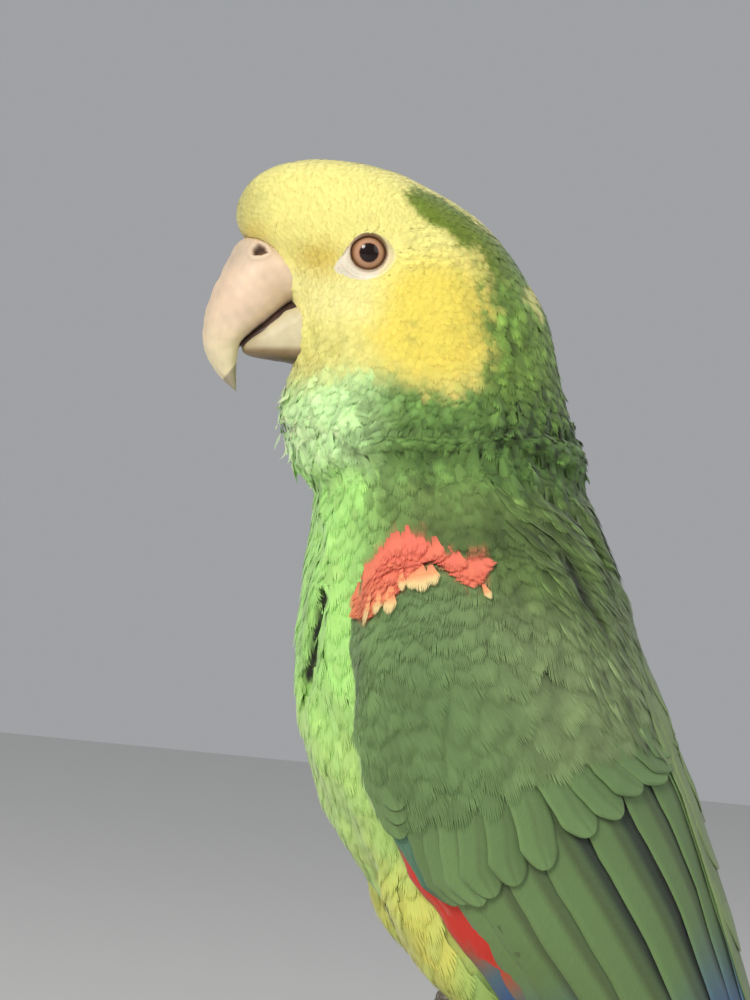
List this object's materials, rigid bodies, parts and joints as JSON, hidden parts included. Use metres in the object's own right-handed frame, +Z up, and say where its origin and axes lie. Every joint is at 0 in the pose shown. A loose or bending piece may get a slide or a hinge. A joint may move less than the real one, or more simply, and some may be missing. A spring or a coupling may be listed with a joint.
{
  "type": "amazon parrot",
  "caption": "Double yellow-headed amazon parrot, life size, upright with closed wings and bill slightly open, gripping a short round perch on a plain display stand.",
  "frame": {"origin": "centre of the stand base's underside", "axes": "+Z up, the bird faces -Y, and its left side is +X"},
  "size_m": [0.152, 0.1964, 0.3573],
  "materials": {
    "head_feathers": "matt short feathers, yellow going to green at the nape",
    "body_feathers": "matt overlapping feathers, pale yellow-green below and deeper green above",
    "wing_feathers": "soft satin feathers with a coral red patch at the bend",
    "flight_feathers": "satin vanes, dusky blue and black",
    "tail_feathers": "satin vanes, green with a yellow-green end band",
    "bill_horn": "satin horn, pale pinkish cream",
    "eyes": "wet gloss",
    "leg_skin": "matt scaled skin, pale grey",
    "claw_horn": "satin horn, dark grey",
    "perch_wood": "sanded plain wood",
    "base_wood": "oiled dark wood",
    "rod_steel": "satin"
  },
  "bodies": {
    "root": {"head": "head_feathers", "neck": "head_feathers", "trunk": "body_feathers", "tail": "tail_feathers", "bill_upper": "bill_horn", "bill_lower": "bill_horn", "eye_left": "eyes", "wing_left": "wing_feathers", "wing_tip_left": "flight_feathers", "thigh_left": "head_feathers", "shank_left": "leg_skin", "foot_left": "leg_skin", "toe_inner_front_left": "leg_skin", "claw_inner_front_left": "claw_horn", "toe_outer_front_left": "leg_skin", "claw_outer_front_left": "claw_horn", "toe_outer_back_left": "leg_skin", "claw_outer_back_left": "claw_horn", "toe_inner_back_left": "leg_skin", "claw_inner_back_left": "claw_horn", "eye_right": "eyes", "wing_right": "wing_feathers", "wing_tip_right": "flight_feathers", "thigh_right": "head_feathers", "shank_right": "leg_skin", "foot_right": "leg_skin", "toe_inner_front_right": "leg_skin", "claw_inner_front_right": "claw_horn", "toe_outer_front_right": "leg_skin", "claw_outer_front_right": "claw_horn", "toe_outer_back_right": "leg_skin", "claw_outer_back_right": "claw_horn", "toe_inner_back_right": "leg_skin", "claw_inner_back_right": "claw_horn", "perch": "perch_wood", "stand_rod": "rod_steel", "stand_base": "base_wood"}
  },
  "joints": []
}
